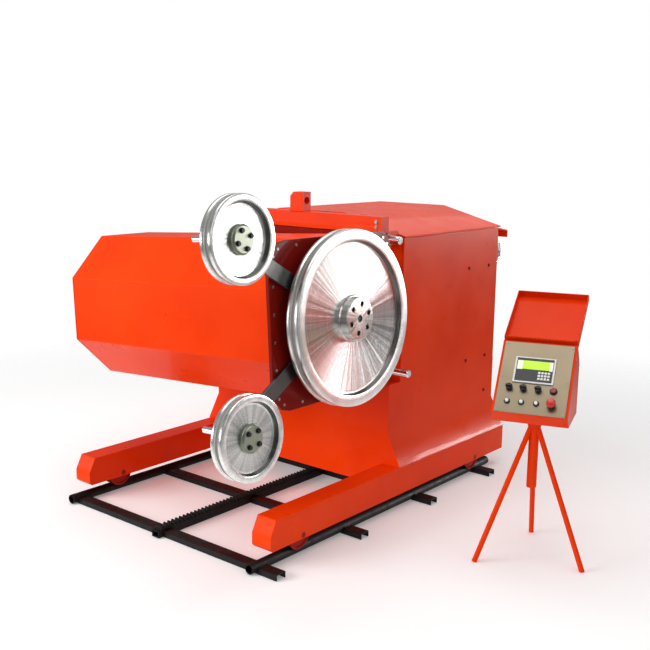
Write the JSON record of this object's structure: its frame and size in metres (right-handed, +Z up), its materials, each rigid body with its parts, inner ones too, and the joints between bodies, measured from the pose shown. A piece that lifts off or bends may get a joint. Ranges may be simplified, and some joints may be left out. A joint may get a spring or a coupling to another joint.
{
  "type": "diamond wire slab saw",
  "caption": "Rail-mounted diamond wire saw for slabbing stone blocks: swivelling motor head with flywheel and guide pulleys on a rail carriage, with tripod console.",
  "frame": {"origin": "on the ground at the track's centre line, under the middle of the second tie's base pad", "axes": "+X across the track towards the flywheel side, +Y back along the rails from the cutting end, +Z up"},
  "size_m": [2.5486, 2.551, 1.6736],
  "materials": {
    "orange_paint": "glossy red-orange machine enamel",
    "dark_red_paint": "dark red enamel",
    "black_paint": "satin black paint on rolled sections",
    "polished_steel": "lathe-turned and polished steel",
    "machined_steel": "machined steel, lightly oiled",
    "motor_grey": "grey cast motor and gearbox casing",
    "panel_steel": "brushed stainless control panel",
    "black_plastic": "black control plastic",
    "red_plastic": "red control plastic",
    "screen": "display module"
  },
  "bodies": {
    "track": {"rail_left": "black_paint", "rail_right": "black_paint", "rack_rail": "black_paint", "tie_1": "black_paint", "tie_2": "black_paint", "tie_3": "black_paint", "tie_4": "black_paint", "console_tripod": "orange_paint", "console_box": "orange_paint", "console_panel": "panel_steel", "console_display": "screen"},
    "chassis": {"beam_left": "orange_paint", "beam_right": "orange_paint", "pedestal": "orange_paint", "floor_plate": "dark_red_paint", "travel_gearmotor": "motor_grey", "cabinet_front": "orange_paint", "side_panel_left": "orange_paint", "side_panel_right": "orange_paint", "cabinet_rear": "orange_paint", "roof": "orange_paint", "rear_hood": "orange_paint", "slide_beam": "orange_paint", "guide_rod_upper": "polished_steel", "guide_rod_lower": "polished_steel", "shift_screw": "machined_steel"},
    "wheel_front_left": {"wheel_front_left": "dark_red_paint"},
    "wheel_front_right": {"wheel_front_right": "dark_red_paint"},
    "wheel_rear_left": {"wheel_rear_left": "dark_red_paint"},
    "wheel_rear_right": {"wheel_rear_right": "dark_red_paint"},
    "pinion": {"drive_pinion": "machined_steel"},
    "door": {"rear_door": "orange_paint"},
    "latch": {"door_latch": "polished_steel"},
    "carriage": {"carriage": "dark_red_paint", "shift_gearmotor": "motor_grey", "slewing_ring_outer": "machined_steel"},
    "head": {"housing_shell": "orange_paint", "housing_end_cover": "orange_paint", "flange_plate": "dark_red_paint", "main_motor": "motor_grey", "spindle_housing": "machined_steel", "slewing_ring_inner": "machined_steel"},
    "flywheel": {"flywheel": "polished_steel", "spindle": "machined_steel", "flywheel_hub": "polished_steel"},
    "arm_upper": {"guide_arm_upper": "machined_steel", "guide_axle_upper": "polished_steel"},
    "pulley_upper": {"guide_pulley_upper": "polished_steel"},
    "arm_lower": {"guide_arm_lower": "machined_steel", "guide_axle_lower": "polished_steel"},
    "pulley_lower": {"guide_pulley_lower": "polished_steel"},
    "lid": {"console_lid": "orange_paint"},
    "knob_1": {"selector_knob_1": "black_plastic"},
    "button_1": {"push_button_1": "polished_steel"},
    "knob_2": {"selector_knob_2": "black_plastic"},
    "button_2": {"push_button_2": "polished_steel"},
    "knob_3": {"selector_knob_3": "black_plastic"},
    "button_3": {"push_button_3": "polished_steel"},
    "stop_button": {"stop_button": "red_plastic"},
    "emergency_stop": {"emergency_stop": "red_plastic"}
  },
  "joints": [
    {"name": "travel", "type": "slide", "parent": "track", "child": "chassis", "axis": [0, 1, 0], "range_m": [-0.2, 0.14]},
    {"name": "wheel_front_left_roll", "type": "hinge", "parent": "chassis", "child": "wheel_front_left", "pos_m": [-0.64, -0.36, 0.1083], "axis": [1, 0, 0], "range_deg": [-140, 199]},
    {"name": "wheel_front_right_roll", "type": "hinge", "parent": "chassis", "child": "wheel_front_right", "pos_m": [0.64, -0.36, 0.1083], "axis": [1, 0, 0], "range_deg": [-140, 199]},
    {"name": "wheel_rear_left_roll", "type": "hinge", "parent": "chassis", "child": "wheel_rear_left", "pos_m": [-0.64, 1.14, 0.1083], "axis": [1, 0, 0], "range_deg": [-140, 199]},
    {"name": "wheel_rear_right_roll", "type": "hinge", "parent": "chassis", "child": "wheel_rear_right", "pos_m": [0.64, 1.14, 0.1083], "axis": [1, 0, 0], "range_deg": [-140, 199]},
    {"name": "pinion_turn", "type": "hinge", "parent": "chassis", "child": "pinion", "pos_m": [0.02, 0.76, 0.10219], "axis": [1, 0, 0], "range_deg": [-145, 206]},
    {"name": "door_swing", "type": "hinge", "parent": "chassis", "child": "door", "pos_m": [-0.52, 1.4413, 1.01], "axis": [0, 0, 1], "range_deg": [0, 110]},
    {"name": "latch_turn", "type": "hinge", "parent": "door", "child": "latch", "pos_m": [0.47, 1.46, 1.01], "axis": [0, 1, 0], "range_deg": [-90, 0]},
    {"name": "side_shift", "type": "slide", "parent": "chassis", "child": "carriage", "axis": [1, 0, 0], "range_m": [-0.15, 0.15]},
    {"name": "head_swivel", "type": "hinge", "parent": "carriage", "child": "head", "pos_m": [0, 0.26, 1.045], "axis": [0, -1, 0], "range_deg": [-30, 86]},
    {"name": "flywheel_spin", "type": "hinge", "parent": "head", "child": "flywheel", "pos_m": [0.76648, -0.132, 1.09322], "axis": [0.998, 0, 0.0628], "continuous": true},
    {"name": "arm_upper_swing", "type": "hinge", "parent": "head", "child": "arm_upper", "pos_m": [0.76648, -0.132, 1.09322], "axis": [0.998, 0, 0.0628], "range_deg": [-40, 10]},
    {"name": "arm_lower_swing", "type": "hinge", "parent": "head", "child": "arm_lower", "pos_m": [0.76648, -0.132, 1.09322], "axis": [0.998, 0, 0.0628], "range_deg": [-10, 30]},
    {"name": "pulley_upper_spin", "type": "hinge", "parent": "arm_upper", "child": "pulley_upper", "pos_m": [0.74343, -0.82309, 1.49156], "axis": [0.998, 0, 0.0628], "continuous": true},
    {"name": "pulley_lower_spin", "type": "hinge", "parent": "arm_lower", "child": "pulley_lower", "pos_m": [0.79353, -0.82309, 0.69514], "axis": [0.998, 0, 0.0628], "continuous": true},
    {"name": "lid_fold", "type": "hinge", "parent": "track", "child": "lid", "pos_m": [1.44116, 0.39861, 1.01227], "axis": [0.9489, 0.3156, 0], "range_deg": [0, 202]},
    {"name": "knob_1_turn", "type": "hinge", "parent": "track", "child": "knob_1", "pos_m": [1.39534, 0.21005, 0.82088], "axis": [0.2418, -0.727, 0.6427], "range_deg": [-45, 45]},
    {"name": "button_1_press", "type": "slide", "parent": "track", "child": "button_1", "axis": [-0.2418, 0.727, -0.6427], "range_m": [0, 0.004], "stiffness_N_per_m": 800, "springref_m": -0.004},
    {"name": "knob_2_turn", "type": "hinge", "parent": "track", "child": "knob_2", "pos_m": [1.45417, 0.22962, 0.82088], "axis": [0.2418, -0.727, 0.6427], "range_deg": [-45, 45]},
    {"name": "button_2_press", "type": "slide", "parent": "track", "child": "button_2", "axis": [-0.2418, 0.727, -0.6427], "range_m": [0, 0.004], "stiffness_N_per_m": 800, "springref_m": -0.004},
    {"name": "knob_3_turn", "type": "hinge", "parent": "track", "child": "knob_3", "pos_m": [1.51584, 0.25013, 0.82088], "axis": [0.2418, -0.727, 0.6427], "range_deg": [-45, 45]},
    {"name": "button_3_press", "type": "slide", "parent": "track", "child": "button_3", "axis": [-0.2418, 0.727, -0.6427], "range_m": [0, 0.004], "stiffness_N_per_m": 800, "springref_m": -0.004},
    {"name": "stop_button_press", "type": "slide", "parent": "track", "child": "stop_button", "axis": [-0.2418, 0.727, -0.6427], "range_m": [0, 0.004], "stiffness_N_per_m": 800, "springref_m": -0.004},
    {"name": "emergency_stop_press", "type": "slide", "parent": "track", "child": "emergency_stop", "axis": [-0.2418, 0.727, -0.6427], "range_m": [0, 0.004]}
  ],
  "couplings": [
    {"joint": "wheel_front_left_roll", "follows": "travel", "rad_per_m": -17.241},
    {"joint": "wheel_front_right_roll", "follows": "travel", "rad_per_m": -17.241},
    {"joint": "wheel_rear_left_roll", "follows": "travel", "rad_per_m": -17.241},
    {"joint": "wheel_rear_right_roll", "follows": "travel", "rad_per_m": -17.241},
    {"joint": "pinion_turn", "follows": "travel", "rad_per_m": -17.859}
  ]
}
